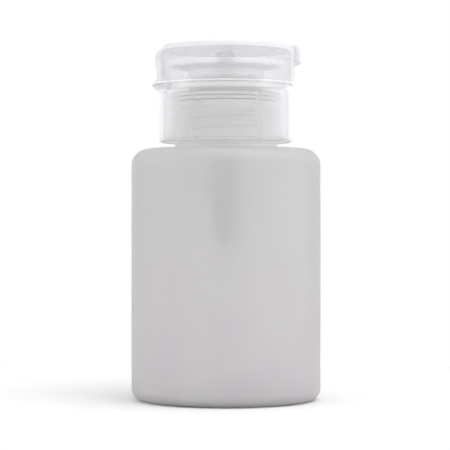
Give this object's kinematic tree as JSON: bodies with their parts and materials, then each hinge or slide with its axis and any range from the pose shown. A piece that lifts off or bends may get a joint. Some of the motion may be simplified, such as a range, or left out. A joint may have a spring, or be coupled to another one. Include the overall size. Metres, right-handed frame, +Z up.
{
  "type": "pump bottle",
  "caption": "Frosted round bottle with a screw collar, a push-down dish pump that gives liquid at its middle, and a hinged flip lid with a thumb tab.",
  "frame": {"origin": "centre of the standing base, on the bottle's axis", "axes": "+Z up the bottle's axis. The lid's hinge is at -X and its thumb tab at +X, so the picture looks along +Y"},
  "size_m": [0.056, 0.056, 0.1045],
  "materials": {
    "bottle": "frosted translucent",
    "closure": "natural translucent, satin",
    "pump": "milky translucent",
    "gasket": "white foam",
    "steel": "polished",
    "tube": "natural translucent"
  },
  "bodies": {
    "bottle": {"bottle": "bottle"},
    "neck_seal": {"gasket": "gasket"},
    "closure": {"collar": "closure", "pump_housing": "pump", "stem_guide": "pump", "ball_retainer": "pump", "return_spring": "steel", "dip_tube": "tube"},
    "lid": {"flip_lid": "closure"},
    "plunger": {"press_dish": "closure", "stem": "pump", "piston": "pump", "outlet_insert": "pump"},
    "inlet_valve": {"inlet_ball": "steel"},
    "outlet_valve": {"outlet_ball": "steel"}
  },
  "joints": [
    {"name": "cap_turn", "type": "hinge", "parent": "bottle", "child": "neck_seal", "pos_m": [0, 0, 0.0883], "axis": [0, 0, 1], "range_deg": [0, 990]},
    {"name": "cap_lift", "type": "slide", "parent": "neck_seal", "child": "closure", "axis": [0, 0, 1], "range_m": [0, 0.00825]},
    {"name": "lid_flip", "type": "hinge", "parent": "closure", "child": "lid", "pos_m": [-0.02205, 0, 0.09285], "axis": [0, -1, 0], "range_deg": [0, 180]},
    {"name": "dish_press", "type": "slide", "parent": "closure", "child": "plunger", "axis": [0, 0, -1], "range_m": [0, 0.005], "stiffness_N_per_m": 500, "springref_m": -0.004, "deforming": ["return_spring"]},
    {"name": "inlet_lift", "type": "slide", "parent": "closure", "child": "inlet_valve", "axis": [0, 0, 1], "range_m": [0, 0.0018]},
    {"name": "outlet_lift", "type": "slide", "parent": "plunger", "child": "outlet_valve", "axis": [0, 0, 1], "range_m": [0, 0.0007]}
  ],
  "couplings": [
    {"joint": "cap_lift", "follows": "cap_turn", "m_per_rad": 0.00047746}
  ]
}
